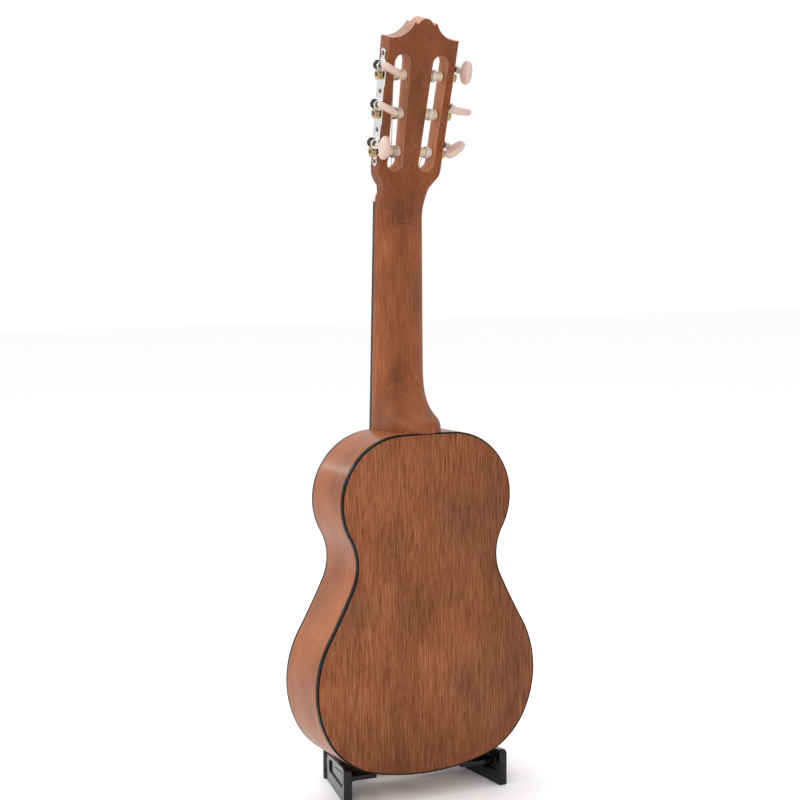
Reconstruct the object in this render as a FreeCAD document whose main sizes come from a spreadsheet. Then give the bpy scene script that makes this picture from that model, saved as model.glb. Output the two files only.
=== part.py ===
import FreeCAD, Part
import math
import os

from FreeCAD import Placement, Rotation, Vector

# A small six-string guitar with a slotted headstock, standing upright in a low folding
# stand. Sizes are millimetres. +Z runs up the guitar, the guitar's back faces -Y and the
# floor is at Z = 0.

SIZES = [
    # place of the guitar over the floor, and of its back plane behind the origin
    ("floor_gap", 24.5),
    ("back_place", -92.3),
    # body
    ("body_length", 317.0),
    ("body_depth", 70.0),
    ("body_taper", 7.2),
    ("plate_thick", 2.5),
    ("rib_thick", 2.2),
    ("bind_width", 1.5),
    ("back_bind_high", 4.5),
    ("top_bind_high", 3.0),
    ("lining_width", 6.0),
    ("lining_high", 10.0),
    ("hole_radius", 35.0),
    ("hole_place", 213.0),
    ("rosette_width", 7.0),
    ("rosette_thick", 0.8),
    ("block_width", 56.0),
    ("block_high", 20.0),
    # neck, fingerboard and strings
    ("scale_length", 433.0),
    ("nut_place", 533.5),
    ("nut_width", 46.6),
    ("heel_width", 52.6),
    ("neck_depth", 17.5),
    ("heel_high", 13.0),
    ("board_thick", 3.6),
    ("board_end", 249.0),
    ("fret_count", 18.0),
    ("fret_high", 1.0),
    ("fret_width", 2.0),
    ("nut_thick", 5.0),
    ("nut_high", 5.5),
    ("string_low", 5.5),
    ("string_high", 9.8),
    ("nut_spread", 38.0),
    ("bridge_spread", 58.0),
    ("bridge_width", 142.0),
    ("bridge_high", 24.0),
    ("bridge_thick", 7.0),
    ("wing_thick", 3.0),
    # headstock and tuning machines
    ("head_tilt", 14.04),
    ("head_foot_back", 38.8),
    ("head_foot_place", 530.0),
    ("head_thick", 17.5),
    ("scarf_place", 470.0),
    ("slot_radius", 8.0),
    ("machine_pitch", 35.0),
    ("middle_machine", 77.0),
    ("roller_radius", 4.8),
    ("gear_radius", 5.0),
    ("gear_thick", 4.4),
    ("worm_radius", 2.6),
    ("shaft_radius", 1.5),
    ("worm_rise", 8.0),
    ("tuner_plate_thick", 1.0),
    ("tuner_plate_wide", 15.0),
    # stand
    ("stand_turn", -7.0),
    ("stand_shift", 1.5),
    ("arm_splay", 7.3),
    ("arm_reach", 86.0),
    ("arm_thick", 8.0),
    ("arm_high", 34.5),
    ("pin_place", 67.5),
    ("pin_back", 95.0),
    ("pin_radius", 2.6),
    ("knuckle_radius", 6.0),
    ("arm_rear_high", 27.0),
    ("left_pad_thick", 2.1),
    ("right_pad_thick", 6.1),
    ("leg_pivot_high", 150.0),
    ("leg_pivot_back", 108.0),
    ("leg_foot_back", 190.0),
]

CLEAR = 0.3          # gap between bodies that only rest against each other
RUNNING_FIT = 0.05   # radial gap of a pin in its knuckle

# The body's half outline, from the middle of the tail up the right side to the neck:
# (radius, turn in degrees) of arcs that run on in line; the waist turns the other way.
# One last flat arc closes it on the centre line.
OUTLINE = [
    (228.0, 14.7),
    (72.4, 47.9),
    (93.2, 57.5),
    (650.0, -4.5),
    (48.9, -55.7),
    (61.3, 118.4),
]

# Ends of the headstock's straight side, right half, in the plane of its back face.
HIP = Vector(32.0, 26.5, 0)
CORNER = Vector(35.4, 146.0, 0)

# Middles of the right slot's round ends, in the same plane.
SLOT_LOW = Vector(16.2, 33.6, 0)
SLOT_HIGH = Vector(19.4, 124.0, 0)

# How far each of the six buttons was left turned about its shaft, in degrees.
BUTTON_TURNS = (-30, -28, 84, 90, -2, 43)

# Ends of a tuning plate and places of its screws, up the headstock from the middle machine.
PLATE_LOW = -48.3
PLATE_HIGH = 58.5
PLATE_SCREWS = (-43.8, -14.7, 20.1, 54.0)

# Directions in a tuning machine's own frame: the roller's axle and the button's shaft.
AXLE = Vector(1, 0, 0)
SHAFT = Vector(0, 0, 1)

# Radius of each string, in the order seen from the back, left to right.
STRING_RADII = (0.52, 0.44, 0.37, 0.5, 0.41, 0.36)

document = FreeCAD.newDocument("guitar_on_stand")
sheet = document.addObject("Spreadsheet::Sheet", "Sizes")
for row, (alias, value) in enumerate(SIZES, start=1):
    sheet.set("A%d" % row, alias)
    sheet.set("B%d" % row, str(value))
    sheet.setAlias("B%d" % row, alias)
document.recompute()


def size(alias):
    """A driving dimension, read from the sheet."""
    return float(sheet.get(alias))


# ---------------------------------------------------------------- frames

TAPER = math.degrees(math.atan(size("body_taper") / size("body_length")))


def back_frame():
    """Local x right, y up the guitar, z out of the back; origin at the tail's back edge."""
    at = Vector(0, size("back_place"), size("floor_gap"))
    return Placement(at, Rotation(Vector(1, 0, 0), 90))


def top_frame():
    """The same in the soundboard's plane, which leans towards the back going up."""
    at = Vector(0, size("back_place") + size("body_depth"), size("floor_gap"))
    return Placement(at, Rotation(Vector(1, 0, 0), 90 + TAPER))


def head_frame():
    """The headstock's back face; y runs up it from the nut's end."""
    y = size("back_place") + size("head_foot_back")
    z = size("floor_gap") + size("head_foot_place")
    return Placement(Vector(0, y, z), Rotation(Vector(1, 0, 0), 90 + size("head_tilt")))


def stand_frame_place():
    """Stand's own frame on the floor: -y is the open front, turned a little under the guitar."""
    at = Vector(size("stand_shift"), size("back_place"), 0)
    return Placement(at, Rotation(Vector(0, 0, 1), size("stand_turn")))


# ---------------------------------------------------------------- document helpers

nodes = []


def keep(thing, label, placement=None):
    """Name an object of the document as a finished sub-part."""
    thing.Label = label
    if placement is not None:
        thing.Placement = placement
    nodes.append(thing)
    return thing


def feature(label, shape, placement=None):
    """A sub-part whose shape comes from the functions below."""
    thing = document.addObject("Part::Feature", label)
    own = shape.Placement
    thing.Shape = shape
    if placement is None:
        return keep(thing, label)
    return keep(thing, label, placement.multiply(own))


def ground_plane(body):
    for item in body.Origin.OriginFeatures:
        if item.Role == "XY_Plane":
            return item
    raise ValueError("no ground plane")


def sketch_on(body, name, edges, rise=None):
    """A sketch on the body's own ground plane; rise is an expression for its height."""
    sketch = body.newObject("Sketcher::SketchObject", name)
    sketch.AttachmentSupport = [(ground_plane(body), "")]
    sketch.MapMode = "FlatFace"
    if rise is not None:
        sketch.setExpression(".AttachmentOffset.Base.z", rise)
    sketch.addGeometry(edges, False)
    return sketch


def pad(label, edges, length, rise=None, placement=None):
    """A body padded from one sketch by a length given as an expression of the sheet."""
    body = document.addObject("PartDesign::Body", label)
    sketch = sketch_on(body, label + "_outline", edges, rise)
    solid = body.newObject("PartDesign::Pad", label + "_pad")
    solid.Profile = sketch
    solid.setExpression("Length", length)
    document.recompute()
    return keep(body, label, placement)


def cut(body, name, edges):
    """Pocket a sketch right through a body, both ways, and make sure that it cut."""
    before = body.Shape.Volume
    sketch = sketch_on(body, name + "_outline", edges)
    pocket = body.newObject("PartDesign::Pocket", name)
    pocket.Profile = sketch
    pocket.Type = "ThroughAll"
    pocket.Midplane = True
    document.recompute()
    if body.Shape.Volume >= before:
        raise ValueError(name + " cut nothing")
    return pocket


def polygon(points):
    """Straight sketch edges round a closed list of (x, y) points."""
    corners = [Vector(x, y, 0) for x, y in points]
    return [Part.LineSegment(a, b) for a, b in zip(corners, corners[1:] + corners[:1])]


def rectangle(x0, y0, x1, y1):
    return polygon([(x0, y0), (x1, y0), (x1, y1), (x0, y1)])


def disc(x, y, radius):
    return Part.Circle(Vector(x, y, 0), Vector(0, 0, 1), radius)


def block(x0, y0, z0, x1, y1, z1):
    return Part.makeBox(x1 - x0, y1 - y0, z1 - z0, Vector(x0, y0, z0))


def prism(edges, z0, z1):
    """A solid from closed edges in the local xy plane."""
    wire = Part.Wire(Part.__sortEdges__([edge.toShape() for edge in edges]))
    face = Part.Face(wire)
    face.translate(Vector(0, 0, z0))
    return face.extrude(Vector(0, 0, z1 - z0))


# ---------------------------------------------------------------- body outline

def half_outline(inset, side=1):
    """Tangent arcs of one half of the body, moved inwards by inset; side mirrors them."""
    x, y, heading = 0.0, 0.0, 0.0
    arcs = []
    steps = list(OUTLINE)
    turn_left = 180.0 - sum(turn for _, turn in OUTLINE)
    steps.append((None, turn_left))
    for radius, turn in steps:
        if radius is None:
            radius = x / math.sin(math.radians(turn_left))
        sign = math.copysign(1, turn)
        cx = x - math.sin(heading) * radius * sign
        cy = y + math.cos(heading) * radius * sign
        reach = radius * sign - inset
        points = []
        for part in (0.0, 0.5, 1.0):
            angle = heading + math.radians(turn) * part
            x_point = side * (cx + math.sin(angle) * reach)
            points.append(Vector(x_point, cy - math.cos(angle) * reach, 0))
        arcs.append(Part.Arc(*points))
        heading += math.radians(turn)
        x = cx + math.sin(heading) * radius * sign
        y = cy - math.cos(heading) * radius * sign
    return arcs


def full_outline(inset):
    return half_outline(inset, 1) + half_outline(inset, -1)


def half_ring(outer, inner, side):
    """Edges of one half of a band that follows the outline between two insets."""
    outside = half_outline(outer, side)
    inside = half_outline(inner, side)
    bottom = Part.LineSegment(outside[0].StartPoint, inside[0].StartPoint)
    top = Part.LineSegment(outside[-1].EndPoint, inside[-1].EndPoint)
    return outside + [top] + inside + [bottom]


def ring(outer, inner, z0, z1):
    return prism(full_outline(outer), z0, z1).cut(prism(full_outline(inner), z0, z1))


def above_top(gap):
    """All beyond a plane that lies gap below the soundboard's face, in the back's frame."""
    slab = block(-200, -50, -100, 200, 450, -gap)
    slab.Placement = back_frame().inverse().multiply(top_frame())
    return slab


# ---------------------------------------------------------------- guitar body

def build_box():
    """Plates, ribs, bindings and what is inside them."""
    plate = size("plate_thick")
    rib = size("rib_thick")
    bind = size("bind_width")
    lining = rib + size("lining_width")
    depth = size("body_depth")
    length = size("body_length")

    pad("back_plate", full_outline(bind), "Sizes.plate_thick", "-Sizes.plate_thick", back_frame())

    board = pad("soundboard", full_outline(bind), "Sizes.plate_thick", None, top_frame())
    hole = size("hole_place")
    cut(board, "soundhole", [disc(0, hole, size("hole_radius"))])
    before = board.Shape.Volume
    groove_edges = [
        disc(0, hole, size("hole_radius") + 4),
        disc(0, hole, size("hole_radius") + 4 + size("rosette_width")),
    ]
    groove_sketch = sketch_on(board, "rosette_groove_outline", groove_edges)
    groove = board.newObject("PartDesign::Pocket", "rosette_groove")
    groove.Profile = groove_sketch
    groove.setExpression("Length", "Sizes.rosette_thick")
    groove.Reversed = True
    document.recompute()
    if board.Shape.Volume >= before:
        raise ValueError("rosette groove cut nothing")
    pad("rosette", groove_edges, "Sizes.rosette_thick", None, top_frame())

    top_edge = above_top(-size("top_bind_high"))
    for side, label in ((1, "right_side"), (-1, "left_side")):
        wall = prism(half_ring(0, rib, side), -depth, -size("back_bind_high"))
        feature(label, wall.cut(top_edge), back_frame())

    back_binding = ring(0, bind, -size("back_bind_high"), 0)
    feature("back_binding", back_binding, back_frame())
    feature("top_binding", ring(0, bind, 0, size("top_bind_high")), top_frame())

    end = size("block_high")
    half = size("block_width") / 2
    inner = prism(full_outline(rib), -depth, -plate).cut(above_top(-plate))
    tail = inner.common(block(-half, 0, -depth, half, end, 0))
    feature("tail_block", tail, back_frame())
    neck = inner.common(block(-half, length - end, -depth, half, length, 0))
    feature("neck_block", neck, back_frame())

    back_strip = ring(rib, lining, -plate - size("lining_high"), -plate)
    feature("back_linings", back_strip.cut(tail).cut(neck), back_frame())
    blocks = Part.Compound([tail, neck])
    blocks.Placement = top_frame().inverse().multiply(back_frame())
    top_strip = ring(rib + 0.3, lining, plate, plate + size("lining_high"))
    feature("top_linings", top_strip.cut(blocks), top_frame())

    room = prism(full_outline(lining + 0.2), -depth, depth)
    bars = [room.common(block(-120, y - 4, -plate - 13, 120, y + 4, -plate)) for y in (72, 160, 252)]
    feature("back_braces", Part.Compound(bars), back_frame())

    bars = [room.common(block(-120, y - 3.5, plate, 120, y + 3.5, plate + 11)) for y in (163, 261)]
    for number in (-1.5, -0.5, 0.5, 1.5):
        fan = block(-2.5, 28, plate, 2.5, 84, plate + 6)
        fan.Placement = Placement(Vector(number * 26, 0, 0), Rotation(Vector(0, 0, 1), number * -6))
        bars.append(fan)
    feature("top_braces", Part.Compound(bars), top_frame())
    feature("bridge_plate", block(-70, 88, plate, 70, 112, plate + 2), top_frame())


# ---------------------------------------------------------------- neck

def half_width(place):
    """Half the fingerboard's width at a place along the guitar."""
    joint = size("body_length")
    per_length = (size("heel_width") - size("nut_width")) / 2 / (size("nut_place") - joint)
    return size("nut_width") / 2 + (size("nut_place") - place) * per_length


def neck_section(place, depth, flat_from):
    """Closed neck section: flat under the fingerboard, rounded sides and a flat on the back.

    The sides follow an ellipse up to the angle flat_from, where the flat takes over."""
    half = half_width(place)
    edge = 2.0
    steps = 8
    full = (depth - edge) / math.sin(math.radians(flat_from))
    sides = []
    for side in (1, -1):
        rounds = []
        for step in range(steps + 1):
            angle = math.radians(flat_from) * step / steps
            rounds.append(Vector(side * half * math.cos(angle), place, edge + full * math.sin(angle)))
        sides.append(rounds)
    right, left = sides
    right_curve = Part.BSplineCurve()
    right_curve.interpolate(right)
    left_curve = Part.BSplineCurve()
    left_curve.interpolate(left[::-1])
    front_right = Vector(half, place, 0)
    front_left = Vector(-half, place, 0)
    edges = [
        Part.LineSegment(front_left, front_right).toShape(),
        Part.LineSegment(front_right, right[0]).toShape(),
        right_curve.toShape(),
        Part.LineSegment(right[-1], left[-1]).toShape(),
        left_curve.toShape(),
        Part.LineSegment(left[0], front_left).toShape(),
    ]
    return Part.Wire(edges)


def back_depth(place):
    """Depth from the soundboard's plane to the back plate's plane, at a place up the guitar."""
    lean = math.radians(TAPER)
    return size("body_depth") / math.cos(lean) - place * math.tan(lean)


def neck_shape():
    """Shaft and heel as one solid, in the soundboard's frame."""
    joint = size("body_length")
    cap = joint + size("heel_high")
    depth = size("neck_depth")
    sections = [
        (joint - 4, back_depth(joint - 4), 68),
        (cap, back_depth(cap), 68),
        (cap + 3.5, 49, 70),
        (cap + 8, 38, 72),
        (cap + 14, 29, 74),
        (cap + 22, 22.5, 76),
        (cap + 34, depth + 1.5, 78),
        (cap + 50, depth + 1, 78),
        (size("nut_place"), depth, 78),
    ]
    whole = Part.makeLoft([neck_section(*item) for item in sections], True, True)
    body = block(-100, 100, -100, 100, half_outline(0)[-1].EndPoint.y, 20)
    body.Placement = top_frame().inverse().multiply(back_frame())
    return whole.cut(body)


def crown_edges():
    """Headstock outline: rounded foot, straight leaning sides, and a crown with two scoops."""
    edges = []
    for side in (1, -1):
        foot = Vector(side * 21.5, -3, 0)
        shoulder = Vector(side * 30.4, 21.5, 0)
        hip = Vector(side * HIP.x, HIP.y, 0)
        corner = Vector(side * CORNER.x, CORNER.y, 0)
        scoop_end = Vector(side * 11.4, 160.2, 0)
        step = Vector(side * 7.8, 158.6, 0)
        crown = Vector(0, 164.2, 0)
        edges.append(Part.Arc(foot, Vector(side * 24.2, 12.0, 0), shoulder))
        edges.append(Part.LineSegment(shoulder, hip))
        edges.append(Part.LineSegment(hip, corner))
        edges.append(Part.Arc(corner, Vector(side * 20.5, 149.4, 0), scoop_end))
        edges.append(Part.LineSegment(scoop_end, step))
        edges.append(Part.Arc(step, Vector(side * 4.6, 162.6, 0), crown))
    edges.append(Part.LineSegment(Vector(-21.5, -3, 0), Vector(21.5, -3, 0)))
    return edges


def slot_edges(side):
    """One long slot with round ends, leaning with the headstock's side."""
    radius = size("slot_radius")
    low = Vector(side * SLOT_LOW.x, SLOT_LOW.y, 0)
    high = Vector(side * SLOT_HIGH.x, SLOT_HIGH.y, 0)
    along = (high - low).normalize()
    across = Vector(along.y, -along.x, 0) * radius
    tip_low = low - along * radius
    tip_high = high + along * radius
    return [
        Part.LineSegment(low + across, high + across),
        Part.Arc(high + across, tip_high, high - across),
        Part.LineSegment(high - across, low - across),
        Part.Arc(low - across, tip_low, low + across),
    ]


def build_neck():
    """Neck and headstock, split along the scarf joint, with what sits on them."""
    shaft = neck_shape()
    head = prism(crown_edges(), -size("head_thick"), 0)
    for side in (1, -1):
        head = head.cut(prism(slot_edges(side), -size("head_thick") - 1, 1))
        head = head.cut(machine_holes(side))
    head.Placement = top_frame().inverse().multiply(head_frame())
    # the joint starts low down under the fingerboard and comes out higher up on the back
    scarf = block(-60, 0, -200, 60, 400, 200)
    scarf.Placement = Placement(Vector(0, size("scarf_place"), 0), Rotation(Vector(1, 0, 0), -65))
    nut_end = block(-60, size("nut_place"), -60, 60, 800, 0)
    upper = shaft.common(scarf)
    lower = shaft.cut(scarf)
    head = head.cut(nut_end).fuse(upper).removeSplitter()
    feature("neck", lower, top_frame())
    feature("headstock", head, top_frame())

    end = size("board_end")
    nut = size("nut_place") - size("nut_thick")
    wide = half_width(end)
    narrow = half_width(nut)
    outline = polygon([(-wide, end), (wide, end), (narrow, nut), (-narrow, nut)])
    pad("fingerboard", outline, "Sizes.board_thick", "-Sizes.board_thick", top_frame())

    board = size("board_thick")
    wires = []
    for number in range(1, int(size("fret_count")) + 1):
        place = nut - size("scale_length") * (1 - 2 ** (-number / 12))
        half = half_width(place) - 0.3
        crown = size("fret_width") / 2
        profile = [
            Vector(0, place - crown, -board),
            Vector(0, place, -board - size("fret_high")),
            Vector(0, place + crown, -board),
        ]
        face = Part.Face(Part.Wire([
            Part.Arc(*profile).toShape(),
            Part.LineSegment(profile[2], profile[0]).toShape(),
        ]))
        face.translate(Vector(-half, 0, 0))
        wires.append(face.extrude(Vector(2 * half, 0, 0)))
    feature("frets", Part.Compound(wires), top_frame())
    narrow -= 0.2
    outline = rectangle(-narrow, nut, narrow, size("nut_place"))
    pad("nut", outline, "Sizes.nut_high", "-Sizes.nut_high", top_frame())


# ---------------------------------------------------------------- bridge and strings

def bridge_line():
    """Where the strings leave the saddle, along the guitar."""
    return size("nut_place") - size("nut_thick") - size("scale_length")


def string_x(number, spread):
    return (number - 2.5) / 5 * spread


def build_bridge():
    line = bridge_line()
    half = size("bridge_width") / 2
    low = line - size("bridge_high") / 2 - 4
    high = low + size("bridge_high")
    middle = size("bridge_spread") / 2 + 8
    tall = size("bridge_thick")
    shape = block(-half, low, -size("wing_thick"), half, high, 0)
    shape = shape.fuse(block(-middle, low, -tall, middle, high, 0))
    wide = middle + 1
    wing = size("wing_thick")
    shape = shape.cut(block(-wide, line - 1.5, -tall - 1, wide, line + 1.5, -wing))
    shape = shape.cut(block(-wide, low + 8, -tall - 1, wide, line - 3.5, -wing))
    for number in range(6):
        x = string_x(number, size("bridge_spread"))
        hole = Part.makeCylinder(1.0, 10, Vector(x, low - 1, -4.6), Vector(0, 1, 0))
        shape = shape.cut(hole)
    feature("bridge", shape.removeSplitter(), top_frame())
    top = size("string_high")
    saddle = block(-middle + 1, line - 1.45, -top + 0.6, middle - 1, line + 1.45, -size("wing_thick"))
    feature("saddle", saddle, top_frame())


def tube(points, radius):
    """A round tube along straight runs, mitred at each corner."""
    path = Part.makePolygon(points)
    ring_edge = Part.makeCircle(radius, points[0], points[1] - points[0])
    return path.makePipeShell([Part.Wire([ring_edge])], True, False, 1)


def machine_place(number):
    """Side and height up the headstock of tuning machine 1 to 6, left side first."""
    side = -1 if number <= 3 else 1
    rank = (number - 1) % 3
    return side, size("middle_machine") + size("machine_pitch") * (1 - rank)


def side_lean():
    """How far the headstock's side leans from its middle line, in degrees."""
    return math.degrees(math.atan2(CORNER.x - HIP.x, CORNER.y - HIP.y))


def machine_frame(number):
    """Local x out of the headstock's side, z out of its back; y is up on the right side only."""
    side, place = machine_place(number)
    x = HIP.x + (place - HIP.y) * (CORNER.x - HIP.x) / (CORNER.y - HIP.y)
    at = Vector(side * x, place, -size("head_thick") / 2)
    spin = Rotation(Vector(0, 0, 1), -side * side_lean())
    if side < 0:
        spin = spin.multiply(Rotation(Vector(0, 0, 1), 180))
    return head_frame().multiply(Placement(at, spin))


def machine_holes(side):
    """Holes for the rollers through one rail into the middle rib, in the head's frame."""
    holes = []
    for number in range(1, 7):
        if machine_place(number)[0] != side:
            continue
        hole = Part.makeCylinder(2.6, 32, Vector(2, 0, 0), Vector(-1, 0, 0))
        hole.Placement = head_frame().inverse().multiply(machine_frame(number))
        holes.append(hole)
    return holes[0].fuse(holes[1:])


def build_strings():
    """Six strings, tied at the bridge and led to their rollers."""
    line = bridge_line()
    nut = size("nut_place") - 0.2
    to_top = top_frame().inverse()
    sets = {"wound_strings": [], "plain_strings": []}
    for number in range(6):
        x_low = string_x(number, size("bridge_spread"))
        x_nut = string_x(number, size("nut_spread"))
        # seen from the back the string order runs from one side to the other
        machine = (3, 2, 1, 4, 5, 6)[number]
        frame = to_top.multiply(machine_frame(machine))
        radius = STRING_RADII[number]
        inner = 13.5 if machine in (1, 6) else 15.5 if machine in (2, 5) else 17.5
        wrap = size("roller_radius") + CLEAR + radius
        # the string reaches the roller's front side, away from the back
        touch = frame.multVec(Vector(-inner, 0, -wrap - 2 * radius - 0.15))
        slot_high = size("string_low") - 0.2
        points = [
            Vector(x_low, line - 15, -4.6),
            Vector(x_low, line - 7.5, -4.6),
            Vector(x_low, line - 1.4, -size("string_high")),
            Vector(x_nut, nut, -slot_high - 0.9),
            touch,
        ]
        string = tube(points, radius)
        start = Vector(-inner - 2 * radius, 0, 0)
        turns = Part.makeCylinder(wrap + radius, 6 * radius, start, AXLE)
        turns = turns.cut(Part.makeCylinder(wrap - radius, 6 * radius, start, AXLE))
        turns.Placement = frame
        name = "wound_strings" if number < 3 else "plain_strings"
        sets[name] += [string, turns]
    for label, strings in sets.items():
        feature(label, Part.Compound(strings), top_frame())


# ---------------------------------------------------------------- tuning machines

def build_machines():
    thick = size("tuner_plate_thick")
    gap = 0.15
    gear_at = thick + 0.6
    gear_thick = size("gear_thick")
    worm_at = gear_at + gear_thick / 2
    rise = size("worm_rise")
    shaft_radius = size("shaft_radius")
    ear_half = 4.6
    screws = []
    for side, label in ((-1, "left_tuner_plate"), (1, "right_tuner_plate")):
        middle = 2 if side < 0 else 5
        frame = machine_frame(middle)
        low, high = sorted((side * PLATE_LOW, side * PLATE_HIGH))
        half_wide = size("tuner_plate_wide") / 2
        plate = block(0, low, -half_wide, thick, high, half_wide)
        for lift in (-1, 0, 1):
            y = lift * size("machine_pitch")
            worm_y = y + side * rise
            plate = plate.cut(Part.makeCylinder(2.2, 4, Vector(-1, y, 0), AXLE))
            bore = Part.makeCylinder(shaft_radius + RUNNING_FIT, 20, Vector(worm_at, worm_y, -10))
            for z in (-5.5, 4.0):
                ear = block(0, worm_y - ear_half, z, worm_at + ear_half, worm_y + ear_half, z + 1.5)
                plate = plate.fuse(ear.cut(bore))
        for up in PLATE_SCREWS:
            y = side * up
            plate = plate.cut(Part.makeCylinder(1.3, 4, Vector(-1, y, 0), AXLE))
            head = Part.makeCone(2.2, 1.5, 0.9, Vector(thick, y, 0), AXLE)
            stem = Part.makeCylinder(1.1, thick + 0.01, Vector(0, y, 0), AXLE)
            screw = head.fuse(stem)
            screw.Placement = frame
            screws.append(screw)
        feature(label, plate, frame)
    feature("tuner_screws", Part.Compound(screws))

    reach = 25.5
    for number in range(1, 7):
        frame = machine_frame(number)
        axle = Part.makeCylinder(1.9, reach + gear_at, Vector(-reach, 0, 0), AXLE)
        post = Part.makeCylinder(size("roller_radius"), 14.4, Vector(-23.2, 0, 0), AXLE)
        feature("roller_%d" % number, axle.fuse(post), frame)
        gear = Part.makeCylinder(size("gear_radius"), gear_thick, Vector(gear_at, 0, 0), AXLE)
        screw = Part.makeCylinder(2.0, 1.2, Vector(gear_at + gear_thick, 0, 0), AXLE)
        feature("gear_%d" % number, Part.Compound([gear, screw]), frame)

        side = machine_place(number)[0]
        worm_frame = frame.multiply(Placement(Vector(worm_at, side * rise, 0), Rotation()))
        shaft = Part.makeCylinder(shaft_radius, 23, Vector(0, 0, -6.5), SHAFT)
        thread = Part.makeCylinder(size("worm_radius"), 8 - 2 * gap, Vector(0, 0, -4 + gap), SHAFT)
        collar = Part.makeCylinder(2.4, 2.5, Vector(0, 0, 5.5 + gap), SHAFT)
        feature("worm_shaft_%d" % number, shaft.fuse([thread, collar]), worm_frame)
        turned = Placement(Vector(0, 0, 0), Rotation(Vector(0, 0, 1), BUTTON_TURNS[number - 1]))
        feature("button_%d" % number, button_shape(), worm_frame.multiply(turned))


def button_shape():
    """A flat oval button on a short stem, with a hole for its shaft; z is the shaft."""
    oval = Part.Ellipse(Vector(0, 0, 0), 10.8, 7.6)
    face = Part.Face(Part.Wire([oval.toShape()]))
    body = face.extrude(Vector(0, 0, 5.4))
    body.translate(Vector(0, 0, -2.7))
    # stand the oval up: its short axis along the shaft, its flat sides across local y
    body.rotate(Vector(0, 0, 0), Vector(1, 0, 0), 90)
    body.translate(Vector(0, 0, 23.0))
    stem = Part.makeCone(3.0, 2.6, 8, Vector(0, 0, 9.6), SHAFT)
    hole = Part.makeCylinder(size("shaft_radius"), 13, Vector(0, 0, 3.5), SHAFT)
    return body.fuse(stem).cut(hole).removeSplitter()


# ---------------------------------------------------------------- stand

def arm_frame(side):
    """Origin on the floor at the arm's pin; local x runs forward along the arm, y inwards."""
    at = Vector(side * size("pin_place"), size("pin_back"), 0)
    turn = Rotation(Vector(0, 0, 1), -90 + side * size("arm_splay"))
    return stand_frame_place().multiply(Placement(at, turn))


def build_arms():
    """Two side plates with raised borders, each on its own upright pin, with a pad on top."""
    half = size("arm_thick") / 2
    reach = size("arm_reach")
    front = size("arm_high")
    rear = size("arm_rear_high")
    slope = (front - rear) / (reach - 9)
    border = 8.0
    web = 2.2
    seat_low = 16.0
    for side, name in ((-1, "left"), (1, "right")):
        inward = -side
        profile = [
            (9, 4),
            (15, 0),
            (reach, 0),
            (reach, front - 6),
            (reach - 5, front - slope * 5),
            (9, rear),
        ]
        plate = prism(polygon(profile), -half, half)
        hollow = [
            (9 + border, border),
            (reach - border, border),
            (reach - border, front - border - slope * border),
            (9 + border, rear - border + slope * border),
        ]
        for z in (web, -web - 10):
            plate = plate.cut(prism(polygon(hollow), z, z + 10))
        plate.Placement = Placement(Vector(0, 0, 0), Rotation(Vector(1, 0, 0), 90))
        knuckle = Part.makeCylinder(size("knuckle_radius"), 13, Vector(0, 0, 9.0))
        arm_root = block(0, -half, 9, 10, half, 22)
        y0, y1 = sorted((0, inward * 33))
        seat = block(50, y0, seat_low, 68, y1, seat_low + 5)
        y0, y1 = sorted((0, inward * 14))
        gusset = block(56, y0, seat_low - 6.5, 62, y1, seat_low)
        arm = plate.fuse([knuckle, arm_root, seat, gusset])
        arm = arm.cut(Part.makeCylinder(size("pin_radius") + RUNNING_FIT, 60, Vector(0, 0, -10)))
        feature(name + "_arm", arm.removeSplitter(), arm_frame(side))

        pad_thick = size(name + "_pad_thick")
        strip = prism(polygon([
            (20, rear + slope * 11),
            (reach - 9, front - slope * 9),
            (reach - 9, front - slope * 9 + pad_thick),
            (20, rear + slope * 11 + pad_thick),
        ]), -half + 0.8, half - 0.8)
        strip.Placement = Placement(Vector(0, 0, 0), Rotation(Vector(1, 0, 0), 90))
        feature(name + "_arm_pad", strip, arm_frame(side))


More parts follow.
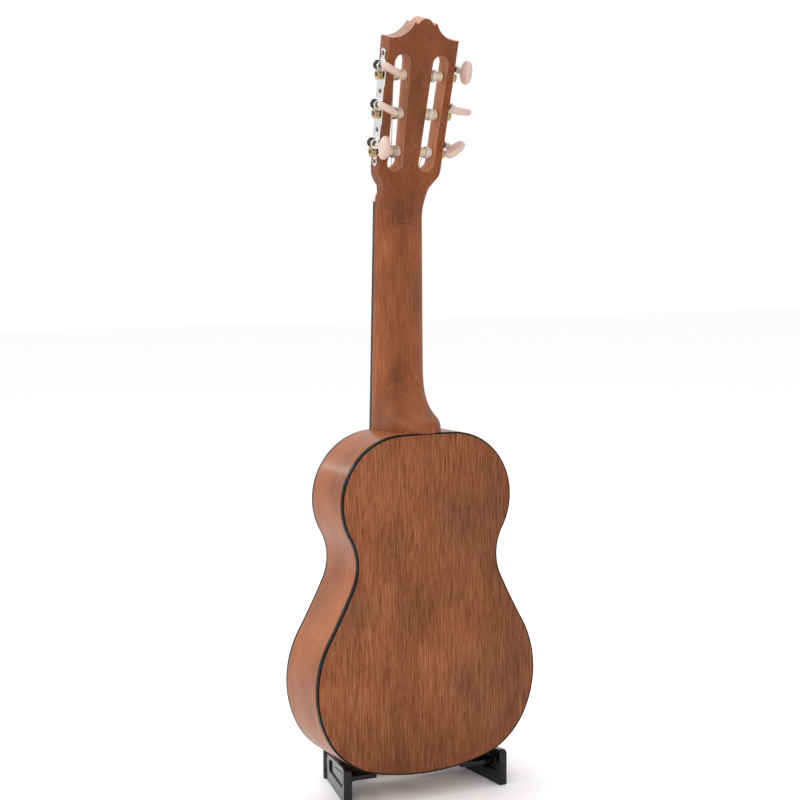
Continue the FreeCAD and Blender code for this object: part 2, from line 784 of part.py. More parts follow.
def build_stand():
    radius = size("pin_radius")
    x_pin = size("pin_place")
    y_pin = size("pin_back")
    place = stand_frame_place()
    low_y = y_pin - 9
    high_y = y_pin + 9
    top = size("leg_pivot_high")
    frame_parts = []
    pins = []
    for side in (-1, 1):
        outline = [
            (42, 0),
            (56, 0),
            (54, 60),
            (26, top + 8),
            (14, top + 8),
            (14, top - 4),
            (40, 58),
        ]
        points = [(side * x, z) for x, z in outline]
        leg = prism(polygon(points), -high_y, -low_y)
        leg.Placement = Placement(Vector(0, 0, 0), Rotation(Vector(1, 0, 0), 90))
        frame_parts.append(leg)
        for z0, z1 in ((0.0, 8.7), (22.3, 31.0)):
            foot = Vector(side * x_pin, y_pin, z0)
            knuckle = Part.makeCylinder(size("knuckle_radius"), z1 - z0, foot)
            inner, outer = sorted((side * 48, side * x_pin))
            web = block(inner, y_pin - 3.5, z0, outer, y_pin + 3.5, z1)
            frame_parts.append(knuckle.fuse(web))
        pins.append(Part.makeCylinder(radius, 29.5, Vector(side * x_pin, y_pin, 1.0)))
    frame_parts.append(block(-45, low_y + 2, 4, 45, high_y - 2, 18))
    frame_parts.append(block(-24, low_y, top - 26, 24, high_y, top - 12))
    whole = frame_parts[0].fuse(frame_parts[1:])
    for side in (-1, 1):
        whole = whole.cut(Part.makeCylinder(radius, 60, Vector(side * x_pin, y_pin, -5)))
    pivot_y = size("leg_pivot_back")
    for side in (-1, 1):
        inner, outer = sorted((side * 14, side * 22))
        whole = whole.fuse(block(inner, high_y - 2, top - 8, outer, pivot_y + 7, top + 8))
    whole = whole.cut(block(-13.3, high_y - 12, top - 12, 13.3, pivot_y + 20, top + 12))
    whole = whole.cut(Part.makeCylinder(radius, 60, Vector(-30, pivot_y, top), Vector(1, 0, 0)))
    feature("stand_frame", whole.removeSplitter(), place)
    feature("arm_hinge_pins", Part.Compound(pins), place)
    pin = Part.makeCylinder(radius, 44, Vector(-22, pivot_y, top), Vector(1, 0, 0))
    feature("leg_hinge_pin", pin, place)

    back = size("leg_foot_back") - pivot_y
    length = math.hypot(back, top)
    lean = math.degrees(math.atan2(back, top))
    # its inner face stays clear of the frame when folded in
    leg = block(-10, -3.4, -length + 9, 10, 5, 0)
    leg = leg.cut(block(-7, 0, -length + 20, 7, 6, -16))
    leg = leg.fuse(Part.makeCylinder(7, 26, Vector(-13, 0, 0), Vector(1, 0, 0)))
    leg = leg.cut(Part.makeCylinder(radius + RUNNING_FIT, 60, Vector(-30, 0, 0), Vector(1, 0, 0)))
    leg_place = Placement(Vector(0, pivot_y, top), Rotation(Vector(1, 0, 0), lean))
    feature("rear_leg", leg.removeSplitter(), place.multiply(leg_place))
    shoe = block(-10.5, -6, -length - 4, 10.5, 6, -length + 9)
    ground = block(-50, 0, -60, 50, 400, 0)
    ground.Placement = leg_place.inverse()
    feature("leg_foot", shoe.cut(ground), place.multiply(leg_place))

    pads = []
    for side in (-1, 1):
        x0, x1 = sorted((side * 40, side * 52))
        pads.append(block(x0, low_y - 9, 32, x1, low_y, 56))
    feature("frame_pads", Part.Compound(pads), place)


build_box()
build_neck()
build_bridge()
build_strings()
build_machines()
build_arms()
build_stand()
document.recompute()

for item in document.Objects:
    if "Invalid" in item.State or "Error" in item.State:
        raise ValueError("failed: " + item.Name)
for item in nodes:
    if item.Shape.isNull() or not item.Shape.isValid():
        raise ValueError("bad shape: " + item.Label)

os.makedirs("parts", exist_ok=True)
for item in nodes:
    item.Shape.exportStep("parts/" + item.Label + ".step")

assembly = Part.Compound([item.Shape for item in nodes])
print(len(nodes), "sub-parts, box", assembly.BoundBox)
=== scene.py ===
import math

import bpy
from mathutils import Matrix, Vector


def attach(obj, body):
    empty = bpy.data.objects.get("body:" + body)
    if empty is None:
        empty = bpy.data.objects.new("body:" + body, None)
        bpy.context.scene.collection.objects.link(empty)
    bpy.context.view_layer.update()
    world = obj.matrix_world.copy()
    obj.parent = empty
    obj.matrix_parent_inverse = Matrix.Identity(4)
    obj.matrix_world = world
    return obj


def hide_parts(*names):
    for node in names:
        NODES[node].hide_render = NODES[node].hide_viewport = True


# Looks of a small guitar in a low folding stand. Shapes are written in millimetres in the
# frames of the part they sit on, and turned into metres in the row frame when built.

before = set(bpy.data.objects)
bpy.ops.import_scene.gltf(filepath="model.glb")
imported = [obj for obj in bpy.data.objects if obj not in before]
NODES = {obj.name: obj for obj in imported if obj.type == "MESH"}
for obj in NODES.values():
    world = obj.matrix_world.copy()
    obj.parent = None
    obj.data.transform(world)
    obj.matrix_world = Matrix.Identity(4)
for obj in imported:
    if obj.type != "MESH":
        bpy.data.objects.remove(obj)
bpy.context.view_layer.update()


# ---------------------------------------------------------------- frames

def place(at, turn=None):
    """A frame at a point in millimetres, turned by a rotation matrix."""
    matrix = Matrix.Translation(Vector(at))
    return matrix @ turn if turn is not None else matrix


def about(axis, degrees):
    return Matrix.Rotation(math.radians(degrees), 4, axis)


FLOOR_GAP = 24.5
BACK_PLACE = -92.3
BODY_DEPTH = 70.0
BODY_LENGTH = 317.0
SLOPE = 7.2 / BODY_LENGTH
TAPER = math.degrees(math.atan(SLOPE))
HEAD_TILT = 14.04
HEAD_THICK = 17.5
SIDE_LEAN = math.degrees(math.atan2(3.4, 119.5))

NUT_PLACE = 533.5
NECK_LENGTH = 216.5
SCALE_LENGTH = 433.0
HEAD_FOOT = 530.0
HOLE_PLACE = 213.0
SCARF_PLACE = 470.0
SCARF_ANGLE = math.radians(65)
RIB_THICK = 2.2
BACK_BIND_HIGH = 4.5
TOP_BIND_HIGH = 3.0
BIND_WIDTH = 1.5
MACHINE_PITCH = 35
WORM_RISE = 8.0

# x right, y up the guitar, z out of the back
BACK = place((0, BACK_PLACE, FLOOR_GAP), about("X", 90))
TOP = place((0, BACK_PLACE + BODY_DEPTH, FLOOR_GAP), about("X", 90 + TAPER))
HEAD = place((0, BACK_PLACE + 38.8, FLOOR_GAP + HEAD_FOOT), about("X", 90 + HEAD_TILT))
STAND = place((1.5, BACK_PLACE, 0), about("Z", -7))
HEAD_IN_TOP = TOP.inverted() @ HEAD


def machine_side(number):
    return -1 if number <= 3 else 1


def machine_frame(number):
    """x out of the headstock's side, z out of its back."""
    side = machine_side(number)
    along = 77 + MACHINE_PITCH * (1 - (number - 1) % 3)
    x = 32 + (along - 26.5) * 3.4 / 119.5
    spin = about("Z", -side * SIDE_LEAN + (180 if side < 0 else 0))
    return HEAD @ place((side * x, along, -HEAD_THICK / 2), spin)


def arm_frame(side):
    """On the floor at the arm's pin; x runs forward along the arm."""
    return STAND @ place((side * 67.5, 95, 0), about("Z", -90 + side * 7.3))


# ---------------------------------------------------------------- materials

class Nodes:
    """A material's node tree with short ways to add nodes."""

    def __init__(self, name):
        self.material = bpy.data.materials.new(name)
        self.material.use_nodes = True
        self.tree = self.material.node_tree
        self.shader = self.tree.nodes["Principled BSDF"]

    def add(self, kind, inputs=(), **settings):
        node = self.tree.nodes.new(kind)
        for key, value in settings.items():
            setattr(node, key, value)
        for key, value in dict(inputs).items():
            if isinstance(value, bpy.types.NodeSocket):
                self.tree.links.new(value, node.inputs[key])
            else:
                node.inputs[key].default_value = value
        return node

    def link(self, value, socket):
        self.tree.links.new(value, self.shader.inputs[socket])

    def set(self, **values):
        for key, value in values.items():
            self.shader.inputs[key.replace("_", " ")].default_value = value

    def stretched(self, coordinates, scale):
        """Coordinates scaled per axis."""
        mapping = self.add("ShaderNodeMapping", {"Vector": coordinates})
        mapping.inputs["Scale"].default_value = scale
        return mapping.outputs["Vector"]

    def noise(self, coordinates, scale=1.0, detail=3.0, rough=0.55, stretch=(1, 1, 1)):
        where = self.stretched(coordinates, [scale * s for s in stretch])
        node = self.add("ShaderNodeTexNoise", {"Vector": where, "Scale": 1.0})
        node.inputs["Detail"].default_value = detail
        node.inputs["Roughness"].default_value = rough
        return node.outputs["Fac"]

    def ramp(self, value, stops):
        """stops: (position, colour) pairs; a colour is a grey or (r, g, b)."""
        node = self.add("ShaderNodeValToRGB", {"Fac": value})
        ramp = node.color_ramp
        while len(ramp.elements) < len(stops):
            ramp.elements.new(0.5)
        for element, (position, colour) in zip(ramp.elements, stops):
            if isinstance(colour, (int, float)):
                colour = (colour, colour, colour)
            element.position = position
            element.color = (*colour, 1)
        return node.outputs["Color"]

    def mix(self, factor, first, second, blend="MIX"):
        node = self.add("ShaderNodeMix", data_type="RGBA", blend_type=blend)
        for index, value in ((0, factor), (6, first), (7, second)):
            if isinstance(value, bpy.types.NodeSocket):
                self.tree.links.new(value, node.inputs[index])
            elif index == 0:
                node.inputs[index].default_value = value
            else:
                node.inputs[index].default_value = (*value, 1)
        return node.outputs[2]

    def math(self, operation, first, second=0.0):
        node = self.add("ShaderNodeMath", operation=operation)
        for index, value in enumerate((first, second)):
            if isinstance(value, bpy.types.NodeSocket):
                self.tree.links.new(value, node.inputs[index])
            else:
                node.inputs[index].default_value = value
        return node.outputs[0]

    def bump(self, height, strength, distance):
        node = self.add("ShaderNodeBump", {"Height": height})
        node.inputs["Strength"].default_value = strength
        node.inputs["Distance"].default_value = distance
        self.link(node.outputs["Normal"], "Normal")


def wood(name, dark, middle, light, grain="Z", pores=1.0, rough=0.38, coat=0.25, patches=1.0,
         fine=1.0, by_length=False, joint=None, polish=0.36):
    """Straight-grained wood with short pores. grain is the axis that it runs along; by_length takes
    the bent length of the piece from its own uv instead. joint darkens what lies beyond a glue
    line, given as (point, direction) in metres in the row frame."""
    tree = Nodes(name)
    source = tree.add("ShaderNodeTexCoord")
    if by_length:
        where = source.outputs["UV"]
        stretch = lambda a, b: (a, b, b)
    else:
        where = source.outputs["Object"]
        stretch = {
            "X": lambda a, b: (a, b, b),
            "Y": lambda a, b: (b, a, b),
            "Z": lambda a, b: (b, b, a),
        }[grain]
    streak = tree.noise(where, detail=4.0, rough=0.65, stretch=stretch(34, 800 * fine))
    broad = tree.noise(where, detail=3.0, rough=0.5, stretch=stretch(6, 55))
    cloud = tree.noise(where, detail=2.5, rough=0.55, stretch=stretch(13, 24))
    dashes = tree.noise(where, detail=1.5, rough=0.5, stretch=stretch(85, 1500 * fine))
    glints = tree.noise(where, detail=1.5, rough=0.5, stretch=stretch(70, 1250 * fine))
    base = tree.ramp(streak, [(0.26, dark), (0.5, middle), (0.74, light)])
    tone = tree.ramp(broad, [(0.32, 0.88), (0.5, 1.0), (0.7, 1.08)])
    base = tree.mix(0.85, base, tone, "MULTIPLY")
    shade = tree.ramp(cloud, [(0.32, 0.68), (0.5, 0.98), (0.68, 1.20)])
    base = tree.mix(0.8 * patches, base, shade, "MULTIPLY")
    pore = tree.ramp(dashes, [(0.33, 0.0), (0.44, 1.0)])
    pore_shade = tree.ramp(pore, [(0.0, 0.55), (1.0, 1.0)])
    base = tree.mix(pores, base, pore_shade, "MULTIPLY")
    glint = tree.ramp(glints, [(0.56, 0.0), (0.70, 1.0)])
    base = tree.mix(tree.math("MULTIPLY", glint, 0.45 * pores), base, light)
    if joint is not None:
        point, direction = joint
        spot = source.outputs["Object"]
        offset = tree.add("ShaderNodeVectorMath", {0: spot, 1: point}, operation="SUBTRACT")
        wave = tree.add("ShaderNodeVectorMath", {0: offset.outputs[0], 1: direction},
                        operation="DOT_PRODUCT")
        ragged = tree.math("MULTIPLY", tree.math("SUBTRACT", cloud, 0.5), 0.003)
        beyond = tree.math("ADD", wave.outputs["Value"], ragged)
        side = tree.ramp(tree.math("MULTIPLY", beyond, 400.0), [(0.0, 0.0), (1.0, 1.0)])
        line = tree.ramp(tree.math("MULTIPLY", tree.math("ABSOLUTE", beyond), 2500.0),
                         [(0.0, 0.55), (1.0, 1.0)])
        deeper = tree.mix(1.0, base, (0.80, 0.74, 0.72), "MULTIPLY")
        base = tree.mix(side, base, deeper)
        base = tree.mix(1.0, base, line, "MULTIPLY")
    tree.link(base, "Base Color")
    shine = tree.ramp(streak, [(0.3, rough + 0.07), (0.7, rough - 0.03)])
    tree.link(shine, "Roughness")
    tree.set(Coat_Weight=coat, Coat_Roughness=polish, Specular_IOR_Level=0.12)
    tree.bump(pore, 0.25, 0.00008)
    return tree.material


def plastic(name, colour, rough, coat=0.0, vary=0.15, grit=2500, soft=0.0, bump=0.00003, shine=0.5):
    """Moulded plastic: slightly uneven tone and a fine moulded texture."""
    tree = Nodes(name)
    where = tree.add("ShaderNodeTexCoord").outputs["Object"]
    tone = tree.noise(where, 60, 3)
    colour_out = tree.mix(tone, [c * (1 - vary) for c in colour], [min(1, c * (1 + vary)) for c in colour])
    tree.link(colour_out, "Base Color")
    fine = tree.noise(where, grit, 2)
    tree.link(tree.ramp(fine, [(0.3, rough - 0.04), (0.7, rough + 0.05)]), "Roughness")
    tree.set(Coat_Weight=coat, Coat_Roughness=0.15, Subsurface_Weight=soft, Specular_IOR_Level=shine)
    if soft:
        tree.set(Subsurface_Scale=0.002)
    tree.bump(fine, 0.2, bump)
    return tree.material


def metal(name, colour, rough, scratch=0.06):
    """Metal with fine brushing and a few darker patches."""
    tree = Nodes(name)
    where = tree.add("ShaderNodeTexCoord").outputs["Object"]
    brushed = tree.noise(where, 900, 3)
    patch = tree.noise(where, 180, 2)
    tone = tree.mix(patch, [c * 0.82 for c in colour], colour)
    tree.link(tone, "Base Color")
    tree.link(tree.ramp(brushed, [(0.3, rough), (0.7, rough + scratch)]), "Roughness")
    tree.set(Metallic=1.0)
    tree.bump(brushed, 0.08, 0.00002)
    return tree.material


def wound(name, colour):
    """A string wound with thin wire: rings round its length, which is the uv's first axis."""
    tree = Nodes(name)
    where = tree.add("ShaderNodeTexCoord").outputs["UV"]
    wave = tree.add("ShaderNodeTexWave", {"Vector": tree.stretched(where, (1, 0, 0)), "Scale": 620.0})
    shaded = tree.ramp(wave.outputs["Fac"], [(0.0, [c * 0.45 for c in colour]), (0.6, colour)])
    tree.link(shaded, "Base Color")
    tree.set(Metallic=0.9, Roughness=0.34)
    tree.bump(wave.outputs["Fac"], 0.5, 0.0001)
    return tree.material


def rings(name, colours, middle, pitch):
    """An inlaid ring of thin coloured circles round a middle point, in metres."""
    tree = Nodes(name)
    where = tree.add("ShaderNodeTexCoord").outputs["Object"]
    offset = tree.add("ShaderNodeVectorMath", {0: where, 1: middle}, operation="SUBTRACT")
    length = tree.add("ShaderNodeVectorMath", {0: offset.outputs[0]}, operation="LENGTH")
    phase = tree.math("FRACT", tree.math("DIVIDE", length.outputs["Value"], pitch))
    band = tree.ramp(phase, [(0.0, colours[0]), (0.34, colours[1]), (0.52, colours[2]), (0.8, colours[0])])
    band.node.color_ramp.interpolation = "CONSTANT"
    speck = tree.noise(where, 1400, 2)
    mottled = tree.mix(0.35, band, tree.ramp(speck, [(0.35, 0.5), (0.6, 1.0)]), "MULTIPLY")
    tree.link(mottled, "Base Color")
    tree.set(Roughness=0.35, Coat_Weight=0.3)
    return tree.material


BACK_WOOD = wood("back_wood", (0.145, 0.040, 0.013), (0.218, 0.067, 0.025), (0.34, 0.135, 0.062),
                 rough=0.5, coat=0.03)
SIDE_WOOD = wood("side_wood", (0.21, 0.058, 0.018), (0.265, 0.078, 0.025), (0.33, 0.112, 0.042),
                 by_length=True, pores=0.35, rough=0.36, coat=0.22, polish=0.18)
SCARF_WAY = Vector((0, math.cos(SCARF_ANGLE), -math.sin(SCARF_ANGLE)))
JOINT_POINT = TOP @ Vector((0, SCARF_PLACE, 0)) * 0.001
JOINT_WAY = (TOP.to_3x3() @ SCARF_WAY).normalized()
NECK_WOOD = wood("neck_wood", (0.168, 0.047, 0.015), (0.225, 0.067, 0.024), (0.30, 0.10, 0.040),
                 pores=0.6, rough=0.48, coat=0.06, patches=1.3, joint=(JOINT_POINT, JOINT_WAY))
HEAD_WOOD = wood("head_wood", (0.145, 0.040, 0.014), (0.185, 0.054, 0.020), (0.24, 0.077, 0.031),
                 pores=0.45, rough=0.5, coat=0.03)
# The slot walls are coloured much lighter than the headstock's faces: that lightness is painted sheen.
SLOT_SHEEN_WOOD = wood("slot_wall_painted_sheen", (0.34, 0.130, 0.062), (0.42, 0.17, 0.088), (0.50, 0.22, 0.12),
                 pores=0.4, rough=0.6, coat=0.0)
# The crown's end grain is coloured much lighter and pinker than the headstock: that lightness is painted
# sheen from overhead light.
END_SHEEN_WOOD = wood("end_grain_painted_sheen", (0.38, 0.19, 0.125), (0.46, 0.25, 0.175), (0.54, 0.31, 0.23), grain="Y",
                pores=0.5, rough=0.42, coat=0.15)
SPRUCE = wood("spruce", (0.56, 0.35, 0.16), (0.68, 0.45, 0.22), (0.76, 0.54, 0.29),
              pores=0.12, patches=0.4, fine=0.8)
BLOCK_WOOD = wood("block_wood", (0.50, 0.31, 0.16), (0.60, 0.39, 0.21), (0.70, 0.48, 0.28),
                  pores=0.3, rough=0.6, coat=0)
BRACE_WOOD = wood("brace_wood", (0.52, 0.33, 0.17), (0.62, 0.41, 0.22), (0.72, 0.51, 0.30), grain="X",
                  pores=0.2, rough=0.6, coat=0)
EBONY_TONES = ((0.022, 0.012, 0.008), (0.040, 0.022, 0.014), (0.070, 0.040, 0.025))
DARK_WOOD = wood("dark_wood", *EBONY_TONES, pores=0.8, rough=0.45, coat=0.05)
BRIDGE_WOOD = wood("bridge_wood", *EBONY_TONES, grain="X", pores=0.8, rough=0.42, coat=0.1)
BINDING = plastic("binding_black", (0.003, 0.0025, 0.0025), 0.34, vary=0.3, shine=0.12)
BLACK = plastic("stand_black", (0.004, 0.0046, 0.006), 0.15, vary=0.25, grit=1800, shine=0.3)
FOAM = plastic("pad_foam", (0.028, 0.028, 0.030), 0.85, vary=0.3, grit=900, bump=0.0002)
CREAM = plastic("button_cream", (0.54, 0.385, 0.32), 0.30, coat=0.2, vary=0.05, soft=0.1)
IVORY = plastic("roller_ivory", (0.60, 0.46, 0.33), 0.34, coat=0.2, vary=0.10, soft=0.1)
BONE = plastic("bone", (0.70, 0.62, 0.48), 0.35, coat=0.2, vary=0.06, soft=0.1)
NYLON = plastic("nylon", (0.62, 0.58, 0.50), 0.22, coat=0.3, vary=0.05)
CHROME = metal("chrome", (0.78, 0.78, 0.77), 0.09)
STEEL = metal("dark_steel", (0.13, 0.12, 0.11), 0.32)
BRASS = metal("brass", (0.62, 0.47, 0.23), 0.26, 0.1)
FRET_METAL = metal("fret_metal", (0.66, 0.64, 0.60), 0.22)
PIN_STEEL = metal("pin_steel", (0.55, 0.55, 0.56), 0.25)
WOUND = wound("wound_string", (0.62, 0.54, 0.42))
ROSETTE = rings("rosette_rings", ((0.03, 0.018, 0.012), (0.62, 0.45, 0.25), (0.24, 0.07, 0.03)),
                TOP @ Vector((0, HOLE_PLACE, 0)) * 0.001, 0.0024)


# ---------------------------------------------------------------- mesh helpers

def build(name, points, faces, where, material, body, stands_for=(), angle=35, uv=None):
    """A mesh from points in millimetres in the frame where. It rides on the body."""
    mesh = bpy.data.meshes.new(name)
    mesh.from_pydata([(where @ Vector(p)) * 0.001 for p in points], [], faces)
    mesh.validate()
    if uv is not None:
        layer = mesh.uv_layers.new(name="UVMap")
        for loop in mesh.loops:
            layer.data[loop.index].uv = uv[loop.vertex_index]
    return finish_piece(name, mesh, material, body, stands_for, angle)


def finish_piece(name, mesh, material, body, stands_for=(), angle=35):
    """Gives a mesh its finish, its body and the CAD nodes that it stands for."""
    mesh.materials.clear()
    mesh.materials.append(material)
    mesh.shade_smooth()
    mesh.set_sharp_from_angle(angle=math.radians(angle))
    piece = bpy.data.objects.new(name, mesh)
    bpy.context.scene.collection.objects.link(piece)
    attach(piece, body)
    if stands_for:
        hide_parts(*stands_for)
    return piece


def loft_faces(rows, columns, closed=True, loop=False):
    """Quads between rows of points; closed joins the last column to the first. loop joins the
    last row to the first, and without it the first and last rows are capped."""
    faces = []
    for row in range(rows if loop else rows - 1):
        following = (row + 1) % rows
        for column in range(columns if closed else columns - 1):
            right = (column + 1) % columns
            faces.append((
                row * columns + column,
                row * columns + right,
                following * columns + right,
                following * columns + column,
            ))
    if not loop:
        faces.append(tuple(reversed(range(columns))))
        faces.append(tuple(range((rows - 1) * columns, rows * columns)))
    return faces


def turned(profile, steps, ring=False):
    """A shape turned about local x from a profile of (x, radius). The profile starts and ends on
    the axis, or is closed when it makes a ring."""
    points = []
    for x, radius in profile:
        for step in range(steps):
            angle = 2 * math.pi * step / steps
            points.append((x, radius * math.cos(angle), radius * math.sin(angle)))
    return points, loft_faces(len(profile), steps, loop=ring)


def upright_part(turning, where):
    """A turned shape stood up: its local x becomes z, and its faces still look outwards."""
    points, faces = turning
    return [(z, y, x) for x, y, z in points], [tuple(reversed(f)) for f in faces], where


def fillet(points, radius, steps=6):
    """Corners of a closed outline rounded; radius is one number or one per corner."""
    count = len(points)
    out = []
    for index, point in enumerate(points):
        r = radius[index] if isinstance(radius, (list, tuple)) else radius
        corner = Vector(point)
        before = (Vector(points[index - 1]) - corner).normalized()
        after = (Vector(points[(index + 1) % count]) - corner).normalized()
        if r <= 0:
            out.append(tuple(corner))
            continue
        half = before.angle(after) / 2
        reach = r / math.tan(half)
        centre = corner + (before + after).normalized() * (r / math.sin(half))
        start = corner + before * reach - centre
        end = corner + after * reach - centre
        turn = start.angle_signed(end)
        for step in range(steps + 1):
            angle = -turn * step / steps
            cos, sin = math.cos(angle), math.sin(angle)
            out.append((centre.x + start.x * cos - start.y * sin, centre.y + start.x * sin + start.y * cos))
    return out


def circle(x, y, radius, steps=40):
    return [
        (x + radius * math.cos(2 * math.pi * k / steps), y + radius * math.sin(2 * math.pi * k / steps))
        for k in range(steps)
    ]


def plate_mesh(outlines, low, high, edge, where, name, rounds=3):
    """A flat plate in the local xy plane from z low to high. The first outline is its edge, others
    are holes, and every edge is rounded by edge."""
    curve = bpy.data.curves.new(name, "CURVE")
    curve.dimensions = "2D"
    curve.fill_mode = "BOTH"
    for outline in outlines:
        spline = curve.splines.new("POLY")
        spline.points.add(len(outline) - 1)
        for point, (x, y) in zip(spline.points, outline):
            point.co = (x, y, 0, 1)
        spline.use_cyclic_u = True
    curve.extrude = (high - low) / 2 - edge
    curve.bevel_depth = edge
    curve.bevel_resolution = rounds
    curve.offset = -edge
    shell = bpy.data.objects.new(name, curve)
    bpy.context.scene.collection.objects.link(shell)
    bpy.context.view_layer.update()
    mesh = bpy.data.meshes.new_from_object(shell)
    bpy.data.objects.remove(shell)
    lift = Matrix.Translation((0, 0, (low + high) / 2))
    mesh.transform(Matrix.Scale(0.001, 4) @ where @ lift)
    return mesh


def plate(name, outlines, low, high, edge, where, material, body, stands_for):
    mesh = plate_mesh(outlines, low, high, edge, where, name + "_curve")
    return finish_piece(name, mesh, material, body, stands_for)


def joined(name, parts, material, body, stands_for=(), angle=35):
    """One piece from several (points, faces, frame) or ready meshes."""
    points, faces = [], []
    for part in parts:
        if isinstance(part, bpy.types.Mesh):
            more = [tuple(v.co * 1000) for v in part.vertices]
            more_faces = [tuple(p.vertices) for p in part.polygons]
            spot = Matrix.Identity(4)
        else:
            more, more_faces, spot = part
        start = len(points)
        points += [spot @ Vector(p) for p in more]
        faces += [tuple(start + i for i in f) for f in more_faces]
    return build(name, points, faces, Matrix.Identity(4), material, body, stands_for, angle)


def tube(path, radius, sides):
    """A round tube along points; returns points, faces and uv along its length."""
    path = [Vector(p) for p in path]
    points, uv = [], []
    length = 0.0
    normal = None
    for index, here in enumerate(path):
        ahead = path[min(index + 1, len(path) - 1)] - path[max(index - 1, 0)]
        ahead.normalize()
        if normal is None:
            normal = ahead.orthogonal().normalized()
        normal = (normal - ahead * normal.dot(ahead)).normalized()
        other = ahead.cross(normal)
        if index:
            length += (here - path[index - 1]).length
        for step in range(sides):
            angle = 2 * math.pi * step / sides
            points.append(here + (normal * math.cos(angle) + other * math.sin(angle)) * radius)
            uv.append((length * 0.001, step / sides * 0.001))
    return points, loft_faces(len(path), sides), uv


def smooth(knots, at):
    """A smooth line through (place, value) knots, flat enough not to overshoot."""
    if at <= knots[0][0]:
        return knots[0][1]
    if at >= knots[-1][0]:
        return knots[-1][1]
    slopes = []
    for index in range(len(knots)):
        before = knots[max(index - 1, 0)]
        after = knots[min(index + 1, len(knots) - 1)]
        here = knots[index]
        left = (here[1] - before[1]) / (here[0] - before[0]) if index else None
        right = (after[1] - here[1]) / (after[0] - here[0]) if index < len(knots) - 1 else None
        if left is None or right is None:
            slopes.append(right if left is None else left)
        elif left * right <= 0:
            slopes.append(0.0)
        else:
            slopes.append(2 * left * right / (left + right))
    for index in range(len(knots) - 1):
        x0, y0 = knots[index]
        x1, y1 = knots[index + 1]
        if at <= x1:
            span = x1 - x0
            t = (at - x0) / span
            return (
                (2 * t ** 3 - 3 * t ** 2 + 1) * y0
                + (t ** 3 - 2 * t ** 2 + t) * span * slopes[index]
                + (3 * t ** 2 - 2 * t ** 3) * y1
                + (t ** 3 - t ** 2) * span * slopes[index + 1]
            )


# ---------------------------------------------------------------- body

OUTLINE = [(228.0, 14.7), (72.4, 47.9), (93.2, 57.5), (650.0, -4.5), (48.9, -55.7), (61.3, 118.4)]


def half_outline(inset, step=1.2):
    """Points up the right half of the body outline, moved inwards by inset, with lengths along
    the outer edge."""
    arcs = list(OUTLINE)
    rest = 180.0 - sum(turn for _, turn in arcs)
    x, y, heading, length = 0.0, 0.0, 0.0, 0.0
    points = []
    for radius, turn in arcs + [(None, rest)]:
        if radius is None:
            radius = x / math.sin(math.radians(rest))
        sign = math.copysign(1, turn)
        cx = x - math.sin(heading) * radius * sign
        cy = y + math.cos(heading) * radius * sign
        reach = radius * sign - inset
        arc_length = radius * math.radians(abs(turn))
        count = max(3, int(max(abs(turn) / step, arc_length / 3)))
        for index in range(count):
            angle = heading + math.radians(turn) * index / count
            points.append((
                cx + math.sin(angle) * reach,
                cy - math.cos(angle) * reach,
                length + arc_length * index / count,
            ))
        heading += math.radians(turn)
        length += arc_length
        x = cx + math.sin(heading) * radius * sign
        y = cy - math.cos(heading) * radius * sign
    points.append((0.0, y - inset, length))
    return points


def round_trip(inset):
    """The whole outline, closed, anticlockwise from the tail."""
    right = half_outline(inset)
    left = [(-x, y, length) for x, y, length in reversed(right[1:-1])]
    return right + left


def band(name, section, where, material, stands_for):
    """A closed strip round the body from a closed section of (inset, z)."""
    rows = [round_trip(inset) for inset, _ in section]
    columns = len(rows[0])
    points = []
    for (_, z), row in zip(section, rows):
        points += [(x, y, z) for x, y, _ in row]
    return build(name, points, loft_faces(len(section), columns, loop=True), where, material, "guitar",
                 stands_for, angle=50)


def rim_section(high, width, edge, up):
    """Section of an edging strip with its outer corner rounded. up is +1 when its face looks
    to +z."""
    outer = [(0.0, -up * high), (0.0, -up * edge)]
    for step in range(1, 5):
        angle = math.pi / 2 * step / 5
        outer.append((edge * (1 - math.cos(angle)), -up * edge * (1 - math.sin(angle))))
    outer += [(edge, 0.0), (width, 0.0), (width, -up * high)]
    return outer


def top_depth(y):
    """How deep the soundboard lies behind the back's plane."""
    return BODY_DEPTH - y * SLOPE


def ribs():
    """The bent sides, outside and inside faces, from binding to binding."""
    for side, name in ((1, "right_side"), (-1, "left_side")):
        points, uv = [], []
        outer = half_outline(0.0)
        inner = half_outline(RIB_THICK)
        for row in range(4):
            line = outer if row < 2 else inner
            for x, y, length in line:
                deep = -BACK_BIND_HIGH if row in (0, 3) else -(top_depth(y) - TOP_BIND_HIGH)
                points.append((side * x, y, deep))
                uv.append((length * 0.001, deep * 0.001))
        columns = len(outer)
        faces = loft_faces(4, columns, closed=False, loop=True)
        faces.append((0, columns, 2 * columns, 3 * columns))
        last = columns - 1
        faces.append((last, 3 * columns + last, 2 * columns + last, columns + last))
        build(name + "_wall", points, faces, BACK, SIDE_WOOD, "guitar", [name], angle=40, uv=uv)


ribs()
band("back_edging", rim_section(BACK_BIND_HIGH, BIND_WIDTH, 0.7, 1), BACK, BINDING, ["back_binding"])
band("top_edging", rim_section(TOP_BIND_HIGH, BIND_WIDTH, 0.5, -1), TOP, BINDING, ["top_binding"])


# ---------------------------------------------------------------- neck and headstock

def half_width(along):
    """Half the neck's width: 23.3 at the nut and 3 more at the body."""
    return 23.3 + (NUT_PLACE - along) * 3.0 / NECK_LENGTH


